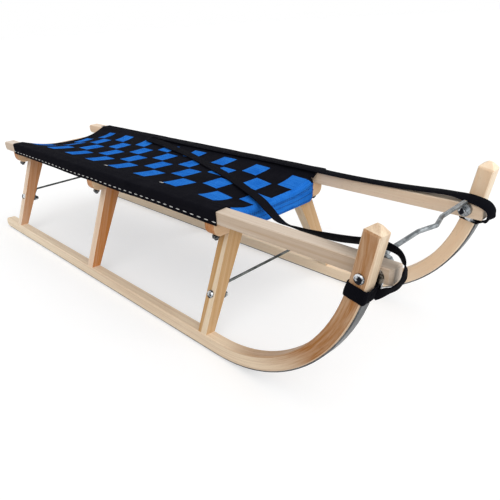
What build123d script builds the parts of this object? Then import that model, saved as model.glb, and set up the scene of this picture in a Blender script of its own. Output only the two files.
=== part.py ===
"""Wooden sled with bent horn runners and a webbing seat, in millimetres.

+X points forwards (the way it is towed), +Y to the sled's left, +Z up.
The origin is on the ground, under the middle of the sled.
"""
from build123d import *
from math import acos, atan, cos, degrees, exp, radians, sin, tan
import os

os.makedirs("parts", exist_ok=True)

# ---- driving dimensions -------------------------------------------------
# Runners: a straight sole, then one bend up into the horn.
sole_rear_x = -549.0          # rear tip of the runner
bend_start_x = 287.0          # where the sole leaves the ground
bend_radius = 254.5           # outside of the bend, at the sole
bend_angle = 79.0             # degrees turned from the sole to the horn
horn_length = 66.0            # straight wood above the bend
horn_chamfer = 8.0
runner_width = 20.0
runner_depth = 22.0           # wood only, without the steel shoe
runner_lean = 3.5             # degrees that each runner leans inwards
runner_edge = 1.5             # small chamfer along the runner's long edges
sole_half_track = 164.0       # outer face of the runner at the sole
tip_radius = 9.0              # rounding of the rear tip

# Steel shoe under each runner.
shoe_width = 16.0
shoe_thickness = 2.0
shoe_end_turn = 0.6           # degrees of bend between its end and the wrap's middle

# Side rails.
rail_rear_x = -523.0
rail_nose_run = 23.2          # rail ahead of the horn bolt
rail_gap = 5.0                # between rail and horn, at the bolt
rail_width = 22.0
rail_height = 20.0
rail_top = 220.5
rail_edge = 1.2
rail_nose = 4.0               # chamfer on the front end's outer edge
rail_tail_radius = 7.0        # rounding of the rear end

# Yokes: crossbars under the rails, each on two legs.
yoke_depth = 20.0
yoke_height = 24.0
yoke_corner = 14.0            # rounding of the lower corners

# Legs: splayed, half-lapped into the yoke's front and tenoned into the runner.
leg_front_x = {"front": 263.0, "middle": -93.5, "rear": -455.5}
leg_depth = 19.0
leg_foot_inset = 1.5          # outer face behind the runner's outer face
leg_foot_width = 18.5
leg_head_inset = 38.5         # leg's outer face inside the rail's, at its underside
leg_head_width = 35.0
leg_lap = 10.0                # depth of the lap in the yoke
tenon_length = 10.0
tenon_shoulder = 4.0

# Leg stays: a steel rod between the two legs of a pair.
stay_diameter = 4.5
stay_eye_radius = 7.0
stay_eye_thickness = 5.0
stay_rise = {"front": 16.0, "rear": 20.0}  # rod above the leg bolt's eye
stay_inset = 4.0              # rod's bend inboard of the leg's inner face
stay_bend_radius = 6.0
stay_lead = 11.0              # straight rod from the middle of the eye
stay_clearance = 0.1          # eye's rim off the tapering leg
leg_bolt_z = {"front": 84.0, "rear": 92.0}

# Front crossbar: a steel rod between the rails with a small bow.
crossbar_diameter = 6.0
crossbar_lift = 5.0           # rod's middle above the rails
crossbar_eye_radius = 9.0
crossbar_eye_thickness = 6.5
crossbar_bow = 8.0            # how far the middle bows forwards
crossbar_bow_half = 30.0      # half the width of the bow
crossbar_bend_radius = 6.5

# Fasteners.
bolt_radius = 3.0
bolt_clearance = 0.2
bolt_head_radius = 6.6
bolt_head_height = 3.4
nut_across_flats = 10.0
nut_height = 5.0
thread_beyond_nut = 3.0
countersink_radius = 6.0      # of the yoke bolts, in the rail's top
countersink_angle = 82.0
horn_bolt_drop = 7.5          # horn bolt below the rail's top

# Spacer between horn and rail: a round-ended plate with a boss.
spacer_width = 24.0
spacer_length = 32.0
spacer_drop = 9.5             # middle of the plate below the bolt
spacer_lead = 4.0             # and ahead of it
spacer_plate = 3.0
spacer_boss_radius = 7.5

# Strap bound round each horn.
wrap_drop = 18.0              # middle of the wrap below the horn bolt
wrap_width = 19.0
wrap_thickness = 2.0
wrap_gap = 0.3
wrap_corner = 3.0

# Pull strap: flat webbing, here a plain tube along its middle line.
strap_diameter = 6.0
strap_clearance = 3.6         # tube's middle above what it lies on

# Seat: webbing stretched over the rails.
seat_rear_inset = 16.5        # ahead of the rear yoke's back
seat_front_overhang = 8.0     # ahead of the front yoke
seat_thickness = 2.0
seat_clearance = 0.3
seat_hem_drop = 1.0           # hem below the rail's underside
seat_corner = 3.0             # rounding over the rail's outer edge
seat_sag_middle = 4.5
seat_sag_ends = 20.0
seat_sag_reach = 90.0         # how far the deeper sag reaches in from an end
flap_height = 27.0            # below the front yoke's top
flap_side_gap = 7.0
flap_thickness = 2.5

# ---- values that follow -------------------------------------------------
lean = radians(runner_lean)
shoe_inset = (runner_width - shoe_width) / 2
# The shoe's inner edge is its lowest, and touches the ground.
sole_lift = (runner_width - shoe_inset) * sin(lean)
runner_depth_all = runner_depth + shoe_thickness
bend_top = radians(bend_angle)


def runner_mid(z):
    """Turn of the runner's middle line at a height, and its place ahead."""
    radius = bend_radius - runner_depth_all / 2
    up = (z - sole_lift) / cos(lean)
    turn = acos(max(cos(bend_top), min(1, (bend_radius - up) / radius)))
    end_up = bend_radius - radius * cos(bend_top)
    ahead = bend_start_x + radius * sin(turn) + max(0, up - end_up) / tan(bend_top)
    return turn, ahead


horn_bolt_z = rail_top - horn_bolt_drop
horn_bolt_x = runner_mid(horn_bolt_z)[1]
rail_front_x = horn_bolt_x + rail_nose_run
# The rails lie just inside the leaning horns.
horn_inner_y = sole_half_track - runner_width / cos(lean) - (horn_bolt_z - sole_lift) * tan(lean)
rail_half_span = horn_inner_y - rail_gap
rail_bottom = rail_top - rail_height
rail_mid_y = rail_half_span - rail_width / 2
rail_inner_y = rail_half_span - rail_width
yoke_bottom = rail_bottom - yoke_height
leg_head_half_span = rail_half_span - leg_head_inset
crossbar_z = rail_top + crossbar_lift
seat_rear_x = leg_front_x["rear"] - yoke_depth + seat_rear_inset
seat_front_x = leg_front_x["front"] + seat_front_overhang
yoke_x = {place: front - yoke_depth / 2 for place, front in leg_front_x.items()}
leg_x = {place: front - leg_depth / 2 for place, front in leg_front_x.items()}


def save(node, name):
    """Label one finished piece and write it."""
    node.part.label = name
    export_step(node.part, f"parts/{name}.step")


def runner_plane(inset=0.0):
    """Side plane of the right runner, inset from its outer face.

    Its x runs forwards, its y up the leaning runner; its normal points
    outwards, so pieces are extruded inwards with a negative amount.
    """
    inward = Vector(0, cos(lean), -sin(lean))
    origin = Vector(0, -sole_half_track, sole_lift) + inward * inset
    return Plane(origin=origin, x_dir=(1, 0, 0), z_dir=-inward)


def bend_point(angle, depth):
    """Point of the bend in the runner plane, depth measured from the sole."""
    radius = bend_radius - depth
    return (bend_start_x + radius * sin(angle), bend_radius - radius * cos(angle))


def horn_point(run, depth):
    """Point of the straight horn, run measured from the end of the bend."""
    x, y = bend_point(bend_top, depth)
    return (x + run * cos(bend_top), y + run * sin(bend_top))


def on_runner(point, inset):
    """World place of a point of the right runner's side plane."""
    return runner_plane(inset).from_local_coords(Vector(*point, 0))


def leg_y(z, face):
    """Half span of a leg's outer or inner face at height z."""
    foot_z = sole_lift + runner_depth_all * cos(lean)
    foot_y = sole_half_track - runner_depth_all * sin(lean) - leg_foot_inset
    head_y = leg_head_half_span
    if face == "inner":
        foot_y -= leg_foot_width
        head_y -= leg_head_width
    share = (z - foot_z) / (rail_bottom - foot_z)
    return foot_y + (head_y - foot_y) * share


def leg_slope(face):
    """Angle of a leg's outer or inner face from upright."""
    return atan(leg_y(0, face) - leg_y(1, face))


def runner_top_z(half_span):
    """Height of the runner's top face at a distance from the middle."""
    outer_y = sole_half_track - runner_depth_all * sin(lean)
    outer_z = sole_lift + runner_depth_all * cos(lean)
    return outer_z - (outer_y - half_span) * tan(lean)


def foot_corner(face):
    """Where a leg's face meets the runner's top."""
    z = runner_top_z(sole_half_track)
    for _ in range(6):
        z = runner_top_z(leg_y(z, face))
    return leg_y(z, face), z


def foot_plane(front_x):
    """Runner's top face under the middle of a right leg, normal upwards."""
    outer_y, outer_z = foot_corner("outer")
    inner_y, inner_z = foot_corner("inner")
    return Plane(
        origin=(front_x - leg_depth / 2, -(outer_y + inner_y) / 2, (outer_z + inner_z) / 2),
        x_dir=(1, 0, 0),
        z_dir=(0, sin(lean), cos(lean)),
    )


# ---- runners ------------------------------------------------------------
with BuildPart() as runner_right:
    with BuildSketch(runner_plane()):
        with BuildLine():
            sole_rear = (sole_rear_x, shoe_thickness)
            sole_front = (bend_start_x, shoe_thickness)
            bend_low = bend_point(bend_top / 2, shoe_thickness)
            bend_end = bend_point(bend_top, shoe_thickness)
            horn_front = horn_point(horn_length, shoe_thickness)
            horn_back = horn_point(horn_length, runner_depth_all)
            back_end = bend_point(bend_top, runner_depth_all)
            back_low = bend_point(bend_top / 2, runner_depth_all)
            top_front = (bend_start_x, runner_depth_all)
            top_rear = (sole_rear_x, runner_depth_all)
            Line(sole_rear, sole_front)
            ThreePointArc(sole_front, bend_low, bend_end)
            Line(bend_end, horn_front)
            Line(horn_front, horn_back)
            Line(horn_back, back_end)
            ThreePointArc(back_end, back_low, top_front)
            Line(top_front, top_rear)
            Line(top_rear, sole_rear)
        make_face()
    extrude(amount=-runner_width)
    # Rounded rear tip.
    tip_edges = runner_right.edges().filter_by(
        lambda e: abs(e.length - runner_width) < 0.01 and e.center().X < sole_rear_x + 1
    )
    fillet(tip_edges, tip_radius)
    # Chamfered horn top.
    horn_top = runner_right.faces().sort_by(Axis.Z)[-1]
    chamfer(horn_top.edges(), horn_chamfer)
    # Sharpness taken off the long edges.
    side_faces = runner_right.faces().sort_by(SortBy.AREA)[-2:]
    side_edges = [edge for face in side_faces for edge in face.edges()]
    chamfer([edge for edge in side_edges if edge.length > runner_width], runner_edge)
    # Mortises for the legs and the hole for the horn bolt.
    for front_x in leg_front_x.values():
        with BuildSketch(foot_plane(front_x)):
            Rectangle(leg_depth - 2 * tenon_shoulder, leg_foot_width - 2 * tenon_shoulder)
        extrude(amount=-tenon_length, mode=Mode.SUBTRACT)
    with BuildSketch(Plane.XZ.offset(rail_half_span)):
        with Locations((horn_bolt_x, horn_bolt_z)):
            Circle(bolt_radius + bolt_clearance)
    extrude(amount=3 * runner_width, mode=Mode.SUBTRACT)
with BuildPart() as runner_left:
    add(mirror(runner_right.part, about=Plane.XZ))
save(runner_right, "runner_right")
save(runner_left, "runner_left")


# ---- steel shoes --------------------------------------------------------
wrap_turn = runner_mid(horn_bolt_z - wrap_drop)[0]
shoe_end = wrap_turn - radians(shoe_end_turn)
with BuildPart() as shoe_right:
    with BuildSketch(runner_plane(shoe_inset)):
        with BuildLine():
            shoe_rear = (sole_rear_x + tip_radius, 0)
            Line(shoe_rear, (bend_start_x, 0))
            ThreePointArc((bend_start_x, 0), bend_point(shoe_end / 2, 0), bend_point(shoe_end, 0))
            Line(bend_point(shoe_end, 0), bend_point(shoe_end, shoe_thickness))
            ThreePointArc(
                bend_point(shoe_end, shoe_thickness),
                bend_point(shoe_end / 2, shoe_thickness),
                (bend_start_x, shoe_thickness),
            )
            Line((bend_start_x, shoe_thickness), (sole_rear_x + tip_radius, shoe_thickness))
            Line((sole_rear_x + tip_radius, shoe_thickness), shoe_rear)
        make_face()
    extrude(amount=-shoe_width)
with BuildPart() as shoe_left:
    add(mirror(shoe_right.part, about=Plane.XZ))
save(shoe_right, "runner_shoe_right")
save(shoe_left, "runner_shoe_left")


# ---- side rails ---------------------------------------------------------
with BuildPart() as rail_right:
    with BuildSketch(Plane.XY.offset(rail_bottom)):
        with Locations(((rail_rear_x + rail_front_x) / 2, -rail_mid_y)):
            Rectangle(rail_front_x - rail_rear_x, rail_width)
    extrude(amount=rail_height)
    tail = rail_right.faces().sort_by(Axis.X)[0]
    fillet(tail.edges().filter_by(Axis.Y), rail_tail_radius)
    nose_edges = rail_right.edges().filter_by(Axis.Z).group_by(Axis.X)[-1]
    chamfer(nose_edges.sort_by(Axis.Y)[0], rail_nose)
    nose = rail_right.faces().sort_by(Axis.X)[-1]
    chamfer(nose.edges().sort_by(Axis.Y)[1:], rail_edge)
    # Sharpness taken off the long edges.
    chamfer([edge for edge in rail_right.edges().filter_by(Axis.X) if edge.length > 500], rail_edge)
    for x in yoke_x.values():
        with Locations((x, -rail_mid_y, rail_top)):
            CounterSinkHole(
                bolt_radius + bolt_clearance,
                countersink_radius,
                depth=rail_height,
                counter_sink_angle=countersink_angle,
            )
    with BuildSketch(Plane.XZ.offset(rail_mid_y)):
        with Locations((horn_bolt_x, horn_bolt_z)):
            Circle(bolt_radius + bolt_clearance)
    extrude(amount=rail_width, both=True, mode=Mode.SUBTRACT)
with BuildPart() as rail_left:
    add(mirror(rail_right.part, about=Plane.XZ))
save(rail_right, "rail_right")
save(rail_left, "rail_left")


# ---- yokes --------------------------------------------------------------
def lap_profile():
    """Corners of the leg's head inside the yoke, seen from the front."""
    return [
        (leg_y(yoke_bottom, "inner"), yoke_bottom),
        (leg_y(yoke_bottom, "outer"), yoke_bottom),
        (leg_y(rail_bottom, "outer"), rail_bottom),
        (leg_y(rail_bottom, "inner"), rail_bottom),
    ]


for place, front_x in leg_front_x.items():
    with BuildPart() as yoke:
        with Locations((yoke_x[place], 0, (rail_bottom + yoke_bottom) / 2)):
            Box(yoke_depth, 2 * rail_half_span, yoke_height)
        underside = yoke.faces().sort_by(Axis.Z)[0]
        fillet(underside.edges().filter_by(Axis.X), yoke_corner)
        for side in (-1, 1):
            with BuildSketch(Plane.YZ.offset(front_x)):
                with BuildLine():
                    Polyline(*[(side * y, z) for y, z in lap_profile()], close=True)
                make_face()
            extrude(amount=-leg_lap, mode=Mode.SUBTRACT)
        with BuildSketch(Plane.XY.offset(yoke_bottom)):
            with Locations((yoke_x[place], -rail_mid_y), (yoke_x[place], rail_mid_y)):
                Circle(bolt_radius + bolt_clearance)
        extrude(amount=yoke_height, mode=Mode.SUBTRACT)
    save(yoke, f"yoke_{place}")



# ---- legs ---------------------------------------------------------------
def leg_bolt_plane(place):
    """Where the right leg's bolt enters, with its normal along the bolt."""
    z = leg_bolt_z[place]
    foot_y, foot_z = foot_corner("outer")
    face_run = Vector(0, foot_y - leg_head_half_span, rail_bottom - foot_z).normalized()
    return Plane(
        origin=(leg_x[place], -leg_y(z, "outer"), z),
        x_dir=(1, 0, 0),
        z_dir=(0, face_run.Z, -face_run.Y),
    )


def leg_bolt_grip(place):
    """Length of the leg bolt inside the wood, along its axis."""
    plane = leg_bolt_plane(place)
    grip = leg_head_width
    for _ in range(12):
        end = plane.origin + plane.z_dir * grip
        grip += -end.Y - leg_y(end.Z, "inner")
    return grip


legs = {}
for place, front_x in leg_front_x.items():
    with BuildPart() as leg:
        # Full depth from the runner up to the yoke, then the lap.
        with BuildSketch(Plane.YZ.offset(front_x)):
            with BuildLine():
                outer_foot, inner_foot = foot_corner("outer"), foot_corner("inner")
                Polyline(
                    (-outer_foot[0], outer_foot[1]),
                    (-leg_y(yoke_bottom, "outer"), yoke_bottom),
                    (-leg_y(yoke_bottom, "inner"), yoke_bottom),
                    (-inner_foot[0], inner_foot[1]),
                    close=True,
                )
            make_face()
        extrude(amount=-leg_depth)
        with BuildSketch(Plane.YZ.offset(front_x)):
            with BuildLine():
                Polyline(*[(-y, z) for y, z in lap_profile()], close=True)
            make_face()
        extrude(amount=-leg_lap)
        with BuildSketch(foot_plane(front_x)):
            Rectangle(leg_depth - 2 * tenon_shoulder, leg_foot_width - 2 * tenon_shoulder)
        extrude(amount=-tenon_length)
        if place in leg_bolt_z:
            with BuildSketch(leg_bolt_plane(place)):
                Circle(bolt_radius + bolt_clearance)
            extrude(amount=leg_head_width, both=True, mode=Mode.SUBTRACT)
    legs[place] = leg
    with BuildPart() as leg_other:
        add(mirror(leg.part, about=Plane.XZ))
    save(leg, f"leg_{place}_right")
    save(leg_other, f"leg_{place}_left")


# ---- fasteners ----------------------------------------------------------
# The eye of a leg stay bears on the tapering leg with its rim.
stay_seat_gap = stay_eye_radius * tan(leg_slope("inner") - leg_slope("outer")) + stay_clearance
MIDDLE_UP = (Align.CENTER, Align.CENTER, Align.MIN)
MIDDLE_DOWN = (Align.CENTER, Align.CENTER, Align.MAX)


def bolt_with_nut(plane, grip, domed):
    """Bolt along the plane's normal, its nut a grip away from the plane.

    A domed head stands on the plane; a countersunk one is sunk level with it.
    """
    with BuildPart() as bolt:
        if domed:
            with Locations(plane):
                Cylinder(bolt_head_radius, bolt_head_height, align=MIDDLE_DOWN)
            rims = bolt.edges().filter_by(GeomType.CIRCLE)
            dome_rim = rims.sort_by(lambda rim: (rim.arc_center - plane.origin).dot(plane.z_dir))[0]
            fillet(dome_rim, bolt_head_height - 0.4)
        else:
            head_radius = countersink_radius - bolt_clearance
            head_depth = (head_radius - bolt_radius) / tan(radians(countersink_angle / 2))
            with Locations(plane):
                Cone(head_radius, bolt_radius, head_depth, align=MIDDLE_UP)
        with Locations(plane):
            Cylinder(bolt_radius, grip + nut_height + thread_beyond_nut, align=MIDDLE_UP)
        with BuildSketch(plane.offset(grip)):
            RegularPolygon(nut_across_flats / 2, 6, major_radius=False)
        extrude(amount=nut_height)
    return bolt


def save_pair(right, name):
    """Write a right-hand piece and its mirror image."""
    with BuildPart() as left:
        add(mirror(right.part, about=Plane.XZ))
    save(right, f"{name}_right")
    save(left, f"{name}_left")


for place in leg_bolt_z:
    bolt_grip = leg_bolt_grip(place) + stay_seat_gap + stay_eye_thickness
    save_pair(bolt_with_nut(leg_bolt_plane(place), bolt_grip, domed=True), f"leg_bolt_{place}")

for place, x in yoke_x.items():
    rail_face = Plane(origin=(x, -rail_mid_y, rail_top), x_dir=(1, 0, 0), z_dir=(0, 0, -1))
    yoke_grip = rail_height + yoke_height
    save_pair(bolt_with_nut(rail_face, yoke_grip, domed=False), f"yoke_bolt_{place}")

# The horn leans, so the head bears on it at the head's lowest point.
horn_face_y = sole_half_track - (horn_bolt_z - bolt_head_radius - sole_lift) * tan(lean)
horn_face = Plane(origin=(horn_bolt_x, -horn_face_y, horn_bolt_z), x_dir=(1, 0, 0), z_dir=(0, 1, 0))
horn_grip = horn_face_y - rail_inner_y + crossbar_eye_thickness
save_pair(bolt_with_nut(horn_face, horn_grip, domed=True), "horn_bolt")


# ---- horn spacers -------------------------------------------------------
with BuildPart() as horn_spacer:
    plate_tilt = wrap_turn
    with BuildSketch(Plane.XZ.offset(rail_half_span)):
        with Locations((
            horn_bolt_x - spacer_drop * cos(plate_tilt) + spacer_lead * sin(plate_tilt),
            horn_bolt_z - spacer_drop * sin(plate_tilt) - spacer_lead * cos(plate_tilt),
        )):
            SlotOverall(spacer_length, spacer_width, rotation=degrees(wrap_turn))
    extrude(amount=spacer_plate)
    with BuildSketch(Plane.XZ.offset(rail_half_span)):
        with Locations((horn_bolt_x, horn_bolt_z)):
            Circle(spacer_boss_radius)
    extrude(amount=runner_width / 2)
    # The boss ends on the horn's leaning inner face.
    split(bisect_by=runner_plane(runner_width), keep=Keep.BOTTOM)
    with BuildSketch(Plane.XZ.offset(rail_half_span)):
        with Locations((horn_bolt_x, horn_bolt_z)):
            Circle(bolt_radius + bolt_clearance)
    extrude(amount=runner_width / 2, mode=Mode.SUBTRACT)
save_pair(horn_spacer, "horn_spacer")


# ---- leg stays ----------------------------------------------------------
for place in leg_bolt_z:
    axis = leg_bolt_plane(place)
    eye = axis.origin + axis.z_dir * (leg_bolt_grip(place) + stay_seat_gap + stay_eye_thickness / 2)
    bar_z = eye.Z + stay_rise[place]
    # The rod leaves the eye in its own plane, clear of the nut.
    lead = eye + Vector(0, -axis.z_dir.Z, axis.z_dir.Y) * stay_lead
    bar_y = leg_y(bar_z, "inner") - stay_inset
    with BuildPart() as stay:
        with BuildLine() as stay_line:
            FilletPolyline(
                eye,
                lead,
                (eye.X, -bar_y, bar_z),
                (eye.X, bar_y, bar_z),
                (eye.X, -lead.Y, lead.Z),
                (eye.X, -eye.Y, eye.Z),
                radius=stay_bend_radius,
            )
        with BuildSketch(Plane(origin=stay_line.line @ 0, z_dir=stay_line.line % 0)):
            Circle(stay_diameter / 2)
        sweep()
        for side in (1, -1):
            eye_plane = Plane(
                origin=(eye.X, side * eye.Y, eye.Z),
                x_dir=(1, 0, 0),
                z_dir=(0, side * axis.z_dir.Y, axis.z_dir.Z),
            )
            with Locations(eye_plane):
                Cylinder(stay_eye_radius, stay_eye_thickness)
                Cylinder(bolt_radius + bolt_clearance, 2 * stay_eye_thickness, mode=Mode.SUBTRACT)
    save(stay, f"leg_stay_{place}")


# ---- crossbar between the rails' front ends -----------------------------
with BuildPart() as crossbar:
    bar_y = rail_inner_y - crossbar_eye_thickness / 2
    with BuildLine() as crossbar_line:
        FilletPolyline(
            (horn_bolt_x, -bar_y, horn_bolt_z),
            (horn_bolt_x, -bar_y, crossbar_z),
            (horn_bolt_x, -crossbar_bow_half, crossbar_z),
            (horn_bolt_x + crossbar_bow, 0, crossbar_z),
            (horn_bolt_x, crossbar_bow_half, crossbar_z),
            (horn_bolt_x, bar_y, crossbar_z),
            (horn_bolt_x, bar_y, horn_bolt_z),
            radius=crossbar_bend_radius,
        )
    with BuildSketch(Plane(origin=crossbar_line.line @ 0, z_dir=crossbar_line.line % 0)):
        Circle(crossbar_diameter / 2)
    sweep()
    with Locations((horn_bolt_x, -bar_y, horn_bolt_z), (horn_bolt_x, bar_y, horn_bolt_z)):
        Cylinder(crossbar_eye_radius, crossbar_eye_thickness, rotation=(90, 0, 0))
        Cylinder(
            bolt_radius + bolt_clearance,
            2 * crossbar_eye_thickness,
            rotation=(90, 0, 0),
            mode=Mode.SUBTRACT,
        )
save(crossbar, "crossbar")


# ---- strap wraps on the horns -------------------------------------------
side_plane = runner_plane(runner_width / 2)
wrap_plane = Plane(
    origin=on_runner(bend_point(wrap_turn, runner_depth_all / 2), runner_width / 2),
    x_dir=side_plane.y_dir * cos(wrap_turn) - side_plane.x_dir * sin(wrap_turn),
    z_dir=side_plane.x_dir * cos(wrap_turn) + side_plane.y_dir * sin(wrap_turn),
)
with BuildPart() as strap_wrap:
    inner_depth = runner_depth_all + 2 * wrap_gap
    inner_width = runner_width + 2 * wrap_gap
    with BuildSketch(wrap_plane):
        RectangleRounded(inner_depth + 2 * wrap_thickness, inner_width + 2 * wrap_thickness, wrap_corner)
        Rectangle(inner_depth, inner_width, mode=Mode.SUBTRACT)
    extrude(amount=wrap_width / 2, both=True)
save_pair(strap_wrap, "strap_wrap")


# ---- seat ---------------------------------------------------------------
seat_top = rail_top + seat_clearance + seat_thickness
seat_half_span = rail_half_span + seat_clearance + seat_thickness
seat_hem = rail_bottom - seat_hem_drop


def seat_sag(x):
    """Depth of the trough between the rails, deeper towards either end."""
    reach = min(x - seat_rear_x, seat_front_x - x) / seat_sag_reach
    return seat_sag_middle + (seat_sag_ends - seat_sag_middle) * exp(-(reach**2))


def seat_dip(x, y):
    """How far the webbing lies below the rails at a place."""
    return seat_sag(x) * (1 - min(1, abs(y) / rail_inner_y) ** 4)


trough_y = [rail_inner_y * share for share in (1, 0.94, 0.84, 0.68, 0.4, 0)]
trough_y = [-y for y in trough_y] + trough_y[-2::-1]


def seat_section(x):
    """Closed outline of the webbing in the YZ plane at x."""
    skin = seat_half_span - seat_corner
    arc = [radians(a) for a in (180, 150, 120, 90)]
    right = [(-seat_half_span, seat_hem)] + [
        (-skin + seat_corner * cos(a), seat_top - seat_corner + seat_corner * sin(a)) for a in arc
    ]
    over = [(y, seat_top - seat_dip(x, y)) for y in trough_y]
    left = [(-y, z) for y, z in reversed(right)]
    inside = seat_half_span - seat_thickness
    under = [(inside, seat_hem), (inside, seat_top - seat_thickness)]
    under += [(y, seat_top - seat_thickness - seat_dip(x, y)) for y in reversed(trough_y)]
    under += [(-inside, seat_top - seat_thickness), (-inside, seat_hem)]
    return right + over + left + under


with BuildPart() as seat:
    length = seat_front_x - seat_rear_x
    for share in (0, 0.04, 0.09, 0.15, 0.24, 0.76, 0.85, 0.91, 0.96, 1):
        x = seat_rear_x + length * share
        with BuildSketch(Plane.YZ.offset(x)):
            with BuildLine():
                Polyline(*seat_section(x), close=True)
            make_face()
    loft(ruled=True)
    # The front end hangs down ahead of the front yoke.
    flap_half = rail_inner_y - flap_side_gap
    flap_y = [y for y in trough_y if abs(y) < flap_half]
    flap_y = [-flap_half] + flap_y + [flap_half]
    with BuildSketch(Plane.YZ.offset(seat_front_x)):
        with BuildLine():
            Polyline(
                (-flap_half, rail_bottom - flap_height),
                *[(y, seat_top - seat_thickness / 2 - seat_dip(seat_front_x, y)) for y in flap_y],
                (flap_half, rail_bottom - flap_height),
                close=True,
            )
        make_face()
    extrude(amount=-flap_thickness)
save(seat, "seat")


# ---- pull strap ---------------------------------------------------------
def on_seat(ahead, across, lift=0.8):
    """Point over the seat: shares of its length from the front, and of its half width."""
    x = seat_front_x - ahead * (seat_front_x - seat_rear_x)
    y = across * rail_inner_y
    return (x, y, seat_top - seat_dip(x, y) + strap_clearance + lift)


def by_rail(ahead, inboard, above, side):
    """Point by a rail: ahead of the horn bolt, inboard of the rail's middle."""
    return (horn_bolt_x + ahead, side * (rail_mid_y - inboard), rail_top + above)


strap_points = [
    # Round the right rail's front end and back over it.
    by_rail(12.5, -12.4, -32.5, -1),
    by_rail(21, -6, -29, -1),
    by_rail(32, -2.5, -19.5, -1),
    by_rail(36.5, 0, -4, -1),
    by_rail(31, 3, 13, -1),
    by_rail(15.5, 6, 20.5, -1),
    by_rail(-6, 8.5, 19, -1),
    by_rail(-37, 11, 10.5, -1),
    by_rail(-76, 16, -1.5, -1),
    by_rail(-122, 17.5, -8.5, -1),
    by_rail(-164, 27, -9.5, -1),
    by_rail(-200, 52, -10.5, -1),
    by_rail(-239, 77, -13, -1),
    # Across the seat towards its left edge.
    on_seat(0.019, -0.24, 1.8),
    on_seat(0.085, -0.09),
    on_seat(0.155, 0.05),
    on_seat(0.227, 0.18),
    on_seat(0.310, 0.38),
    on_seat(0.397, 0.57),
    on_seat(0.483, 0.69),
    on_seat(0.553, 0.80),
    on_seat(0.602, 0.835),
    # A tight turn over the seat's left border.
    on_seat(0.630, 0.855, 1.5),
    on_seat(0.647, 0.895, 2.0),
    on_seat(0.650, 0.981, 1.8),
    on_seat(0.640, 1.041, 1.2),
    on_seat(0.618, 1.070),
    on_seat(0.573, 1.085),
    # Forwards along the left border and the left rail.
    on_seat(0.483, 1.060),
    on_seat(0.378, 1.075),
    on_seat(0.264, 1.025),
    on_seat(0.151, 1.035),
    on_seat(0.041, 1.000),
    by_rail(-208, 12, 4.0, 1),
    by_rail(-137, 9, 3.9, 1),
    by_rail(-74, 4.5, 6.2, 1),
    by_rail(-28, 4.5, 9.6, 1),
    by_rail(1, 4, 9.8, 1),
    by_rail(22, 5, 7, 1),
    by_rail(35, 5, -2, 1),
    by_rail(37.5, 5, -15, 1),
    by_rail(30.5, 1, -26, 1),
    by_rail(20, -6, -31.5, 1),
    by_rail(12, -12.4, -33, 1),
]


def corner_radii(points):
    """Radius of each corner: as large as its two runs allow."""
    radii = []
    for before, at, after in zip(points, points[1:], points[2:]):
        run_in, run_out = Vector(*at) - Vector(*before), Vector(*after) - Vector(*at)
        half_turn = radians(run_in.get_angle(run_out)) / 2
        radii.append(0.45 * min(run_in.length, run_out.length) / tan(half_turn))
    return radii


strap_radii = corner_radii(strap_points)
with BuildPart() as pull_strap:
    with BuildLine() as strap_line:
        FilletPolyline(*strap_points, radius=strap_radii)
    with BuildSketch(Plane(origin=strap_line.line @ 0, z_dir=strap_line.line % 0)):
        Circle(strap_diameter / 2)
    sweep()
save(pull_strap, "pull_strap")
strap_length = sum(edge.length for edge in strap_line.line.edges())
print("strap length", round(strap_length), "smallest radii", sorted(round(r, 1) for r in strap_radii)[:8])
print("strap volume share", round(pull_strap.part.volume / (strap_length * 3.14159 * strap_diameter**2 / 4), 4))
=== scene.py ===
# %% [markdown]
# # A wooden sled
#
# A horn sled has two runners that are steamed and bent up in front, three pairs of
# splayed legs, two rails with a woven seat stretched over them, and a flat pull strap.
# The hard pieces are already there, exact and in metres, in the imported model. This
# lesson keeps them, gives them their finishes, and makes the soft pieces anew.

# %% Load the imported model
import math

import bmesh
import bpy
from mathutils import Matrix, Vector, noise


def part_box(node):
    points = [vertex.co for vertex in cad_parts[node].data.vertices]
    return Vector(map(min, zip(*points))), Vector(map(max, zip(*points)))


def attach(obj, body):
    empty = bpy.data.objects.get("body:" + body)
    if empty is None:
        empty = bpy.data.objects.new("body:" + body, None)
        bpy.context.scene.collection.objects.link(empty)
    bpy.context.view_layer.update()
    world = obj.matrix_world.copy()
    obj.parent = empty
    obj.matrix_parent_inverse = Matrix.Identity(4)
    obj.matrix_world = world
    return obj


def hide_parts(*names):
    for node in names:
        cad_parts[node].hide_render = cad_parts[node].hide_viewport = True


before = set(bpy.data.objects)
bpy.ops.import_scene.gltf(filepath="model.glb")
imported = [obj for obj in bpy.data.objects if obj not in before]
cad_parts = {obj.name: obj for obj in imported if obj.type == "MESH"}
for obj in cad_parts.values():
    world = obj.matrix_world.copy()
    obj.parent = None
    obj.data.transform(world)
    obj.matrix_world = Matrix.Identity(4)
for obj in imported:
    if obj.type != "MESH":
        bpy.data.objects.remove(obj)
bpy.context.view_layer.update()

mm = 0.001
scene = bpy.context.scene
scene.view_settings.view_transform = "Standard"
print("pieces in the model:", len(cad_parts))

# %% [markdown]
# ## The camera
#
# A camera could be set up by turning it in steps, but a point to stand on and a point
# to look at say more. Three axes follow from the two points: forwards, right and up.
# A small roll then turns the last two about the first.

# %% Place the camera
STAND_AT = Vector((0.7723, -0.5384, 0.4659))
LOOK_AT = Vector((0.2072, -0.0060, 0.0944))
ROLL = -0.06077

forwards = (LOOK_AT - STAND_AT).normalized()
level_right = forwards.cross(Vector((0, 0, 1))).normalized()
level_up = level_right.cross(forwards)
right = level_right * math.cos(ROLL) + level_up * math.sin(ROLL)
up = level_up * math.cos(ROLL) - level_right * math.sin(ROLL)

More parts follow.
